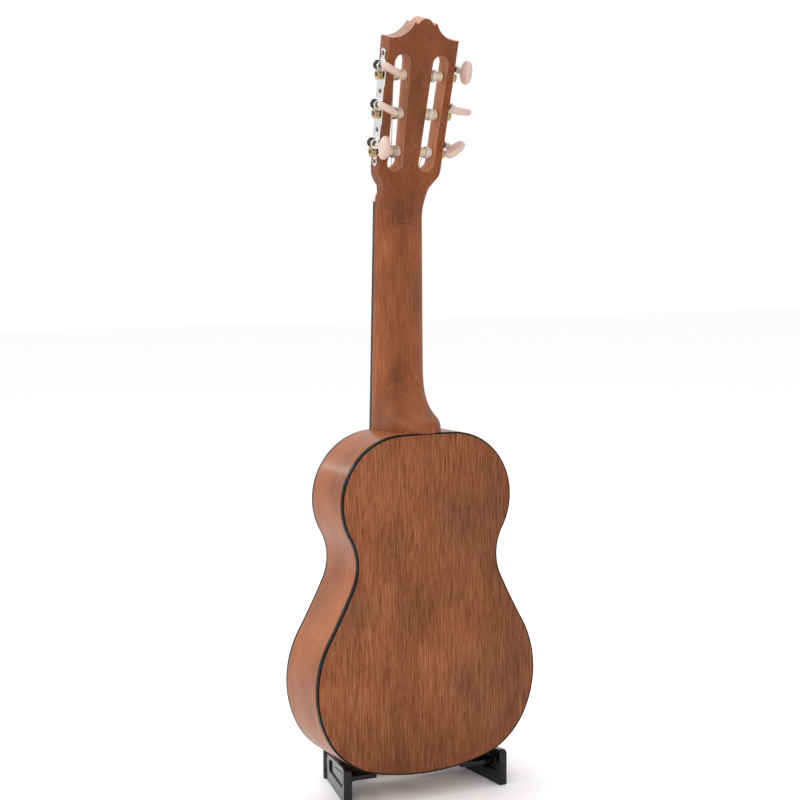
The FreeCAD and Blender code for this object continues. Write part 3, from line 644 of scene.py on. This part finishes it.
def neck_station(front, back, half, corner_x, corner_z):
    """One closed section across the neck. front and back are (y, z) points in the top's frame;
    corners are quarter ellipses between straight sides and a flat back."""
    front = Vector((0, *front))
    back = Vector((0, *back))
    depth = (back - front).length
    way = (back - front).normalized()
    edge = 0.4
    arc = 14
    line = [(half - edge, 0.0)]
    for step in range(1, 4):
        angle = math.pi / 2 * step / 3
        line.append((half - edge * (1 - math.sin(angle)), edge * (1 - math.cos(angle))))
    start = depth - corner_z
    for step in range(1, 5):
        line.append((half, edge + (start - edge) * step / 5))
    for step in range(arc + 1):
        angle = math.pi / 2 * step / arc
        line.append((half - corner_x * (1 - math.cos(angle)), start + corner_z * math.sin(angle)))
    flat = half - corner_x
    for step in range(1, 4):
        line.append((flat * (1 - step / 4), depth))
    right = [front + Vector((x, 0, 0)) + way * z for x, z in line]
    left = [front + Vector((-x, 0, 0)) + way * z for x, z in reversed(line)]
    return right + [front + way * depth] + left


def head_point(along, z):
    spot = HEAD_IN_TOP @ Vector((0, along, z))
    return spot.y, spot.z


def back_depth(along):
    lean = math.radians(TAPER)
    return BODY_DEPTH / math.cos(lean) - along * math.tan(lean)


HEEL_DEPTH = [
    (316, back_depth(316)), (322, back_depth(322) - 0.2), (325.5, back_depth(325.5) - 1.6), (328, 58.4),
    (330, 54.6), (331.6, 50.2), (333.5, 45.6), (336.5, 40.2), (340.5, 34.4), (346, 28.6), (353, 23.6),
    (361, 20.4), (371, 19.0), (384, 18.5), (515, 17.55),
]
FLAT_SHARE = [(316, 0.24), (330, 0.24), (345, 0.22), (371, 0.2), (515, 0.2)]
STRAIGHT = [(316, 0.30), (330, 0.26), (345, 0.16), (371, 0.12), (515, 0.12)]
HEAD_SIDE = [
    (-12, 23.45), (-4, 23.25), (1, 23.1), (5, 23.05), (9, 23.6), (12, 24.5), (15, 26.0), (18, 28.1),
    (20.5, 29.9), (22.5, 31.0), (24.5, 31.6), (26.5, 32.0),
]
CORNER_X = [
    (-14, 18.4), (-6, 16.4), (0, 13.6), (5, 10.4), (10, 6.8), (14, 3.6), (18, 1.5), (21, 0.6), (25, 0.6),
]
CORNER_Z = [
    (-14, 15.4), (-6, 13.4), (0, 10.6), (5, 7.6), (10, 4.6), (14, 2.3), (18, 1.0), (21, 0.6), (25, 0.6),
]
CROWN_CORNER = (35.4, 146.0)
SLOT_RADIUS = 8.0
# where the round back of the neck starts to swing into the headstock, and how deep it is there
NECK_END = 515.0
NECK_END_DEPTH = 17.55


def corner_sizes(s):
    """Width at a place up the headstock, and the two sizes of its corners."""
    return smooth(HEAD_SIDE, s), smooth(CORNER_X, s), smooth(CORNER_Z, s)


def neck_stations():
    """Sections from the heel, up the shaft and through the bend, to inside the headstock."""
    stations = []
    along = 316.0
    while along < NECK_END:
        depth = smooth(HEEL_DEPTH, along)
        half = half_width(along)
        flat = half * smooth(FLAT_SHARE, along)
        straight = depth * smooth(STRAIGHT, along)
        stations.append(neck_station((along, 0), (along, depth), half, half - flat, depth - straight))
        along += 0.8 if along < 350 else 3.5
    # backs of the next stations swing from the neck's plane into the headstock's
    start = (NECK_END, NECK_END_DEPTH)
    bend = head_point(-8.5, 0.0)
    end = head_point(9.0, 0.0)
    for step in range(1, 27):
        t = step / 26
        back = [
            (1 - t) ** 2 * start[i] + 2 * t * (1 - t) * bend[i] + t ** 2 * end[i] for i in (0, 1)
        ]
        front_place = NECK_END + 24.5 * t
        if front_place < NUT_PLACE - 0.1:
            front = (front_place, 0.0)
        else:
            low = head_point(front_place - HEAD_FOOT, -HEAD_THICK)
            front = (front_place, low[1])
        stations.append(neck_station(front, back, *corner_sizes(-14 + 23 * t)))
    # the last ones stand a hair proud of the headstock's faces, so that neither shows through
    proud = 0.02
    for step in range(1, 17):
        s = 9.0 + 15.0 * step / 16
        t = step / 16
        front = head_point(9.5 + (s - 9.5) * t if t < 1 else s, -HEAD_THICK - proud)
        half, corner_x, corner_z = corner_sizes(s)
        stations.append(neck_station(front, head_point(s, proud), half + proud, corner_x, corner_z))
    return stations


def neck():
    stations = neck_stations()
    points = [p for station in stations for p in station]
    faces = loft_faces(len(stations), len(stations[0]))
    build("neck_shaft", points, faces, TOP, NECK_WOOD, "guitar", ["neck"], angle=42)


def crown():
    """The headstock's outline above the shoulder, anticlockwise from low on the right."""
    right = [(smooth(HEAD_SIDE, s), s) for s in (20.2, 21.5, 23.0, 24.5, 26.5)]
    right.append(CROWN_CORNER)
    scoop = [CROWN_CORNER, (20.5, 149.4), (11.4, 160.2)]
    bump = [(7.8, 158.6), (4.6, 162.6), (0.0, 164.2)]
    for knots, count in ((scoop, 14), (bump, 10)):
        a, b, c = knots
        centre, radius = through(a, b, c)
        first = math.atan2(a[1] - centre[1], a[0] - centre[0])
        last = math.atan2(c[1] - centre[1], c[0] - centre[0])
        if last - first > math.pi:
            last -= 2 * math.pi
        if first - last > math.pi:
            last += 2 * math.pi
        for step in range(0 if knots is bump else 1, count + 1):
            angle = first + (last - first) * step / count
            right.append((centre[0] + radius * math.cos(angle), centre[1] + radius * math.sin(angle)))
    left = [(-x, y) for x, y in reversed(right[:-1])]
    return right + left


def through(a, b, c):
    """Centre and radius of the circle through three points."""
    ax, ay, bx, by, cx, cy = *a, *b, *c
    d = 2 * (ax * (by - cy) + bx * (cy - ay) + cx * (ay - by))
    a2, b2, c2 = ax * ax + ay * ay, bx * bx + by * by, cx * cx + cy * cy
    x = (a2 * (by - cy) + b2 * (cy - ay) + c2 * (ay - by)) / d
    y = (a2 * (cx - bx) + b2 * (ax - cx) + c2 * (bx - ax)) / d
    return (x, y), math.hypot(ax - x, ay - y)


def slot_outline(side):
    """A long slot with round ends, leaning with the side."""
    low = Vector((side * 16.2, 33.6))
    high = Vector((side * 19.4, 124.0))
    lean = math.atan2(high.y - low.y, high.x - low.x)
    points = []
    for centre, start in ((low, lean + math.pi / 2), (high, lean - math.pi / 2)):
        for step in range(25):
            angle = start + math.pi * step / 24
            points.append((
                centre.x + SLOT_RADIUS * math.cos(angle),
                centre.y + SLOT_RADIUS * math.sin(angle),
            ))
    return points


def headstock():
    outlines = [crown(), slot_outline(-1), slot_outline(1)]
    head = plate_mesh(outlines, -HEAD_THICK, 0, 0.35, HEAD, "head_plate", rounds=2)
    head.materials.clear()
    head.materials.append(HEAD_WOOD)
    head.materials.append(SLOT_SHEEN_WOOD)
    head.materials.append(END_SHEEN_WOOD)
    back_way = (HEAD.to_3x3() @ Vector((0, 0, 1))).normalized()
    up = (HEAD.to_3x3() @ Vector((0, 1, 0))).normalized()
    into_head = HEAD.inverted()
    # Slot walls get the slot colour and the crown's top end gets the end-grain colour. Both are lighter than
    # the headstock wood, as painted sheen.
    for face in head.polygons:
        spot = into_head @ (face.center * 1000)
        flat = abs(face.normal.dot(back_way)) > 0.35
        inner = abs(spot.x) < 28.5 and 24.8 < spot.y < 133
        sheen_top_end = spot.y > 145.4 and face.normal.dot(up) > 0.2
        if not flat and (inner or sheen_top_end):
            face.material_index = 2 if sheen_top_end else 1
    head.shade_smooth()
    head.set_sharp_from_angle(angle=math.radians(35))
    piece = bpy.data.objects.new("head_plate", head)
    bpy.context.scene.collection.objects.link(piece)
    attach(piece, "guitar")
    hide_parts("headstock")


neck()
headstock()


# ---------------------------------------------------------------- tuning machines

BUTTON_TURNS = (-30, -28, 84, 90, -2, 43)
WORM_AT = 1.0 + 0.6 + 2.2
TEETH = 14
EAR_HALF = 4.5
PLATE_HIGH = 58.5
PLATE_LOW = 48.3
PLATE_SCREWS = (-43.8, -14.7, 20.1, 54.0)


def worm_spot(number):
    return (WORM_AT, machine_side(number) * WORM_RISE, 0)


def tuner_plate(side):
    """One long chrome plate with scalloped ends, three pairs of worm brackets and their bores."""
    middle = 2 if side < 0 else 5
    where = machine_frame(middle) @ about("Y", 90)
    # the plate's own plane: first axis runs towards the front, second up or down the head
    scallop = [(7.4, 0.0), (7.4, 8.5), (6.5, 11.0), (6.2, 17.5), (6.5, 24.0), (7.4, 26.5), (7.4, 33.0)]
    tip = [(4.2, 10.2), (3.5, 8.8), (2.9, 7.4), (3.6, 5.6), (4.2, 4.0), (3.7, 2.1), (2.2, 0.6), (0.0, 0.0)]
    top_half = scallop + [(7.4, 44.5), (7.0, 46.6)] + [(x, PLATE_HIGH - y) for x, y in tip]
    low_half = scallop + [(7.4, 36.0), (7.0, 37.6)] + [(x, PLATE_LOW - y) for x, y in tip]
    edge = top_half + [(-x, y) for x, y in reversed(top_half[:-1])]
    edge += [(-x, -y) for x, y in low_half[1:]] + [(x, -y) for x, y in reversed(low_half[1:-1])]
    edge = [(x, side * y) for x, y in edge]
    parts = [plate_mesh([edge], 0.0, 1.0, 0.25, where, "tuner_edge", rounds=2)]
    for lift in (-1, 0, 1):
        worm_y = lift * MACHINE_PITCH + side * WORM_RISE
        for z in (-5.5, 4.0):
            outline = [(0.6, -EAR_HALF), (0.6, EAR_HALF), (WORM_AT, EAR_HALF)]
            for step in range(1, 16):
                angle = math.pi / 2 - math.pi * step / 16
                outline.append((WORM_AT + EAR_HALF * math.cos(angle), EAR_HALF * math.sin(angle)))
            outline.append((WORM_AT, -EAR_HALF))
            spot = machine_frame(middle) @ place((0, worm_y, z))
            hole = circle(WORM_AT, 0, 1.55, 24)
            parts.append(plate_mesh([outline, hole], 0.0, 1.5, 0.3, spot, "ear", rounds=2))
    label = "left" if side < 0 else "right"
    joined(label + "_machine_plate", parts, CHROME, "guitar", [label + "_tuner_plate"])
    heads = []
    dome = [(1.0, 0.0), (1.0, 2.2), (1.35, 2.1), (1.7, 1.6), (1.9, 0.9), (1.9, 0.01)]
    socket = [(1.88, 0.0), (1.88, 0.75), (1.93, 0.75), (1.93, 0.0)]
    for up in PLATE_SCREWS:
        spot = machine_frame(middle) @ place((0, side * up, 0))
        heads.append((*turned(dome, 24), spot))
        heads.append((*turned(socket, 6), spot))
    return heads


def gear(number):
    """A brass wheel with hollow-cut teeth, and the screw in its middle."""
    where = machine_frame(number)
    points = []
    sections = (
        (1.62, 0.96), (2.2, 1.0), (3.0, 0.93), (3.8, 0.90), (4.6, 0.93), (5.4, 1.0), (5.98, 0.96),
    )
    steps = TEETH * 8
    for x, share in sections:
        for step in range(steps):
            angle = 2 * math.pi * step / steps
            wave = math.cos(TEETH * angle)
            bite = 0.62 * max(-0.6, min(0.9, wave))
            radius = 4.42 * share + bite
            points.append((x, radius * math.cos(angle), radius * math.sin(angle)))
    faces = loft_faces(len(sections), steps)
    build("gear_wheel_%d" % number, points, faces, where, BRASS, "roller_%d" % number,
          ["gear_%d" % number], angle=30)
    profile = [(5.9, 0.0), (5.9, 2.3), (6.3, 2.4), (6.5, 2.2), (6.5, 1.5), (6.1, 1.2), (6.1, 0.0)]
    points, faces = turned(profile, 24)
    build("gear_screw_%d" % number, points, faces, where, STEEL, "roller_%d" % number)


def roller(number):
    """A ribbed plastic barrel on a thin steel axle, with the string's turns on it."""
    where = machine_frame(number)
    profile = [
        (-25.3, 0.0), (-25.3, 1.8), (-23.2, 1.9), (-23.2, 4.3), (-22.9, 4.75), (-21.4, 4.8),
        (-21.1, 4.35), (-20.6, 4.3),
    ]
    for index in range(4):
        x = -20.4 + index * 1.1
        profile += [(x, 4.45), (x + 0.4, 4.55), (x + 0.8, 4.45)]
    profile += [(-15.6, 4.3), (-15.0, 4.3), (-12.2, 4.35), (-11.9, 4.7), (-10.6, 4.8), (-9.2, 4.8)]
    profile += [(-8.8, 4.4), (-8.8, 0.0)]
    points, faces = turned(profile, 40)
    build("roller_barrel_%d" % number, points, faces, where, IVORY, "roller_%d" % number,
          ["roller_%d" % number])
    points, faces = turned([(-9.2, 0.0), (-9.2, 1.8), (1.6, 1.8), (1.6, 0.0)], 24)
    build("roller_axle_%d" % number, points, faces, where, STEEL, "roller_%d" % number)


def worm(number):
    """A steel worm with its thread, shaft, collar and the button's stem."""
    side = machine_side(number)
    where = machine_frame(number) @ place(worm_spot(number))
    body = "worm_%d" % number
    profile = [
        (-6.4, 0.0), (-6.4, 1.2), (-6.1, 1.5), (-3.9, 1.5), (-3.9, 1.75), (3.9, 1.75), (3.9, 1.5),
        (5.6, 1.5), (5.65, 2.2), (5.9, 2.4), (7.8, 2.4), (8.1, 2.1), (8.15, 1.5), (16.4, 1.5), (16.4, 0.0),
    ]
    parts = [upright_part(turned(profile, 32), where)]
    thread = []
    hand = -side
    radius = 1.9
    rounds = 3
    for step in range(rounds * 28 + 1):
        t = step / (rounds * 28)
        angle = hand * 2 * math.pi * rounds * t
        thread.append((radius * math.cos(angle), radius * math.sin(angle), -3.2 + 6.4 * t))
    points, faces, _ = tube(thread, 0.55, 8)
    parts.append((points, faces, where))
    joined("worm_%d_thread" % number, parts, STEEL, body, ["worm_shaft_%d" % number])

    spin = where @ about("Z", BUTTON_TURNS[number - 1])
    points, faces = pebble()
    stem = [
        (9.6, 0.0), (9.6, 2.7), (9.9, 3.0), (11.5, 3.0), (13.5, 2.75), (16.5, 2.5), (18.0, 2.4), (18.0, 0.0),
    ]
    joined("button_%d_oval" % number, [(points, faces, spin), upright_part(turned(stem, 32), spin)],
           CREAM, body, ["button_%d" % number], angle=60)


def pebble():
    """The button's oval: flat faces across local y that fall away towards a rounded rim."""
    side_line = [
        (0.03, 1.0), (0.45, 1.0), (0.66, 0.98), (0.78, 0.93), (0.87, 0.83), (0.94, 0.66), (0.98, 0.42),
        (1.0, 0.14),
    ]
    profile = side_line + [(reach, -level) for reach, level in reversed(side_line)]
    columns = 56
    points = []
    for reach, level in reversed(profile):
        for column in range(columns):
            angle = 2 * math.pi * column / columns
            x = 10.8 * reach * math.cos(angle)
            points.append((x, 2.95 * level, 23.0 + 7.6 * reach * math.sin(angle)))
    return points, loft_faces(len(profile), columns)


screws = tuner_plate(-1) + tuner_plate(1)
joined("plate_screws", screws, STEEL, "guitar", ["tuner_screws"])
for machine in range(1, 7):
    gear(machine)
    roller(machine)
    worm(machine)


# ---------------------------------------------------------------- strings

BRIDGE_LINE = 528.5 - SCALE_LENGTH
SADDLE_TOP = -9.8
STRING_RADII = (0.52, 0.44, 0.37, 0.5, 0.41, 0.36)


def strings():
    """Six strings from the bridge over saddle and nut to their rollers, and the turns they take."""
    for index in range(6):
        low_x = (index - 2.5) / 5 * 58
        nut_x = (index - 2.5) / 5 * 38
        number = (3, 2, 1, 4, 5, 6)[index]
        radius = STRING_RADII[index]
        where = machine_frame(number)
        inner = {1: 13.5, 6: 13.5, 2: 15.5, 5: 15.5, 3: 17.5, 4: 17.5}[number]
        wrap = 4.8 + 0.3 + radius
        to_top = TOP.inverted() @ where
        touch = to_top @ Vector((-inner, 0, -wrap + 0.3))
        over_saddle = (
            (15, -4.6), (8.2, -4.6), (6.4, -5.2), (2.2, -9.0), (1.2, -9.75), (0, SADDLE_TOP),
        )
        path = [(low_x, BRIDGE_LINE - behind, z) for behind, z in over_saddle]
        for step in range(1, 12):
            t = step / 12
            along = BRIDGE_LINE + (HEAD_FOOT - BRIDGE_LINE) * t
            path.append((low_x + (nut_x - low_x) * t, along, SADDLE_TOP + 3.6 * t))
        path += [(nut_x, 531.5, -6.15), (nut_x, 532.8, -6.05), (nut_x, 533.6, -5.8)]
        path.append(tuple(touch))
        points, faces, uv = tube(path, radius, 10)
        material = WOUND if index < 3 else NYLON
        name = "wound_strings" if index < 3 else "plain_strings"
        build("string_%d" % (index + 1), points, faces, TOP, material, "guitar",
              [name] if index in (0, 3) else (), angle=60, uv=uv)
        helix = []
        for step in range(4 * 24 + 1):
            t = step / (4 * 24)
            angle = -math.pi / 2 - 2 * math.pi * 4 * t
            helix.append((
                -inner - 2.6 * radius * 1.6 + 5.2 * radius * 1.6 * t,
                (wrap - 0.28) * math.cos(angle),
                (wrap - 0.28) * math.sin(angle),
            ))
        points, faces, uv = tube(helix, radius, 8)
        build("string_turns_%d" % (index + 1), points, faces, where, material, "roller_%d" % number,
              angle=60, uv=uv)


strings()


# ---------------------------------------------------------------- stand

def arm(side):
    """A side plate with a raised border round a sunk web, its hinge knuckle, and a seat inwards."""
    name = "left" if side < 0 else "right"
    where = arm_frame(side)
    upright = where @ about("X", 90)
    inward = -side
    reach, front, rear = 86.0, 34.5, 27.0
    slope = (front - rear) / (reach - 9)
    outline = fillet([
        (9, 1.0), (13, 0.0), (reach, 0.0), (reach, front), (9, rear),
    ], [0.5, 1.0, 1.6, 4.5, 2.0])
    hollow = fillet([
        (19, 13.0), (reach - 7, 13.0), (reach - 7, front - 4), (19, rear - 3),
    ], [2.5, 2.5, 3.0, 4.0])
    floor = fillet([(15, 6), (reach - 5, 6), (reach - 5, front - 3), (15, rear - 2)], 1.0)
    panel = fillet([
        (35, 15.5), (reach - 10, 15.5), (reach - 10, front - 7.5), (35, rear - 5),
    ], [1.0, 3.0, 4.0, 5.5])
    parts = [
        plate_mesh([outline, hollow], -4.0, 4.0, 1.1, upright, "border", rounds=4),
        plate_mesh([floor], -2.2, 2.2, 0.2, upright, "web", rounds=1),
        plate_mesh([panel], -3.2, 3.2, 0.8, upright, "panel", rounds=3),
    ]
    knuckle = [(9.0, 2.65), (9.0, 5.5), (9.5, 6.0), (21.5, 6.0), (22.0, 5.5), (22.0, 2.65)]
    parts.append(upright_part(turned(knuckle, 40, ring=True), where))
    root = fillet([(3.4, -4.0), (12, -4.0), (12, 4.0), (3.4, 4.0)], [0.2, 0.2, 0.2, 0.2])
    parts.append(plate_mesh([root], 9.0, 22.0, 0.5, where, "root", rounds=2))
    y0, y1 = sorted((inward * 2.0, inward * 33))
    tips = [0.6, 0.6, 3.0, 3.0] if inward > 0 else [3.0, 3.0, 0.6, 0.6]
    narrow = [0, 0, 5, 5] if inward > 0 else [5, 5, 0, 0]
    seat = fillet([
        (50 + narrow[0], y0), (68 - narrow[1], y0), (68 - narrow[2], y1), (50 + narrow[3], y1),
    ], tips)
    parts.append(plate_mesh([seat], 16.0, 21.0, 1.0, where, "seat", rounds=3))
    gusset_frame = where @ place((59, 0, 0)) @ about("Z", 90) @ about("X", 90)
    gusset = [(inward * 3, 9.5), (inward * 14, 16.5), (inward * 3, 16.5)]
    if inward > 0:
        gusset = gusset[::-1]
    parts.append(plate_mesh([gusset], -3.0, 3.0, 0.6, gusset_frame, "gusset", rounds=2))
    joined(name + "_side_arm", parts, BLACK, name + "_arm", [name + "_arm"], angle=38)
    thick = 2.1 if side < 0 else 6.1
    strip = fillet([
        (20, rear + slope * 11), (reach - 24, front - slope * 24),
        (reach - 24, front - slope * 24 + thick), (20, rear + slope * 11 + thick),
    ], [0.1, 0.1, 0.9, 0.9])
    plate(name + "_arm_strip", [strip], -3.2, 3.2, 0.7, upright, FOAM, name + "_arm", [name + "_arm_pad"])


arm(-1)
arm(1)


def softened(node, width, material):
    """A CAD piece shown as it is, with its edges rounded by width and its own finish."""
    piece = NODES[node]
    weld = piece.modifiers.new("weld", "WELD")
    weld.merge_threshold = 0.000004
    if width:
        bevel = piece.modifiers.new("round", "BEVEL")
        bevel.width = width * 0.001
        bevel.segments = 3
        bevel.limit_method = "ANGLE"
        bevel.angle_limit = math.radians(30)
        bevel.harden_normals = False
    piece.data.materials.clear()
    piece.data.materials.append(material)
    piece.data.shade_smooth()
    piece.data.set_sharp_from_angle(angle=math.radians(30))


for node, width, material in (
    ("back_plate", 0, BACK_WOOD),
    ("soundboard", 0, SPRUCE),
    ("rosette", 0, ROSETTE),
    ("tail_block", 0.5, BLOCK_WOOD),
    ("neck_block", 0.5, BLOCK_WOOD),
    ("back_linings", 0.4, BLOCK_WOOD),
    ("top_linings", 0.4, BLOCK_WOOD),
    ("back_braces", 0.8, BRACE_WOOD),
    ("top_braces", 0.8, BRACE_WOOD),
    ("bridge_plate", 0.4, BRACE_WOOD),
    ("fingerboard", 0.3, DARK_WOOD),
    ("frets", 0, FRET_METAL),
    ("nut", 0.5, BONE),
    ("saddle", 0.7, BONE),
    ("bridge", 0.7, BRIDGE_WOOD),
    ("stand_frame", 1.2, BLACK),
    ("rear_leg", 1.0, BLACK),
    ("leg_foot", 1.2, FOAM),
    ("frame_pads", 1.2, FOAM),
    ("arm_hinge_pins", 0.4, PIN_STEEL),
    ("leg_hinge_pin", 0.4, PIN_STEEL),
):
    softened(node, width, material)


# ---------------------------------------------------------------- setting

def lamp(name, at, aim, size, power):
    """A square soft light at a place in metres, facing aim."""
    data = bpy.data.lights.new(name, "AREA")
    data.shape = "RECTANGLE"
    data.size = size
    data.size_y = size
    data.energy = power
    lamp_object = bpy.data.objects.new(name, data)
    bpy.context.scene.collection.objects.link(lamp_object)
    lamp_object.location = at
    way = Vector(aim) - Vector(at)
    lamp_object.rotation_euler = way.to_track_quat("-Z", "Y").to_euler()


def setting():
    scene = bpy.context.scene
    floor_mesh = bpy.data.meshes.new("floor")
    reach = 9.0
    floor_mesh.from_pydata([(-reach, -reach, 0), (reach, -reach, 0), (reach, reach, 0), (-reach, reach, 0)],
                           [], [(0, 1, 2, 3)])
    tree = Nodes("floor_paper")
    grain = tree.noise(tree.add("ShaderNodeTexCoord").outputs["Object"], 40, 2)
    tree.link(tree.ramp(grain, [(0.3, 0.955), (0.7, 0.975)]), "Base Color")
    tree.set(Roughness=0.85, Specular_IOR_Level=0.1)
    floor_mesh.materials.append(tree.material)
    floor = bpy.data.objects.new("floor", floor_mesh)
    scene.collection.objects.link(floor)

    world = bpy.data.worlds.new("studio")
    world.use_nodes = True
    world.node_tree.nodes["Background"].inputs["Color"].default_value = (1.0, 1.0, 1.0, 1)
    world.node_tree.nodes["Background"].inputs["Strength"].default_value = 1.0
    scene.world = world
    scene.view_settings.view_transform = "Standard"
    scene.view_settings.look = "None"

    aim = (0.0, -0.05, 0.35)
    lamp("key", (-1.5, -2.4, 1.9), aim, 1.6, 20)
    lamp("left_wall", (-2.2, 0.35, 1.95), aim, 1.1, 21)
    lamp("overhead", (0.1, 0.6, 2.6), aim, 1.8, 10)
    lamp("sparkle", (-1.15, 2.2, 1.35), aim, 0.45, 7)

    camera = bpy.data.cameras.new("camera")
    camera.lens = 77.76
    camera.sensor_width = 36.0
    camera.sensor_fit = "HORIZONTAL"
    viewer = bpy.data.objects.new("camera", camera)
    scene.collection.objects.link(viewer)
    right = Vector((0.88107, -0.47296, -0.00552))
    up = Vector((0.04705, 0.07603, 0.996))
    ahead = Vector((0.47065, 0.8778, -0.08924))
    turn = Matrix((
        (right.x, up.x, -ahead.x),
        (right.y, up.y, -ahead.y),
        (right.z, up.z, -ahead.z),
    ))
    viewer.matrix_world = Matrix.Translation((-0.7633, -1.4617, 0.5125)) @ turn.to_4x4()
    scene.camera = viewer


setting()
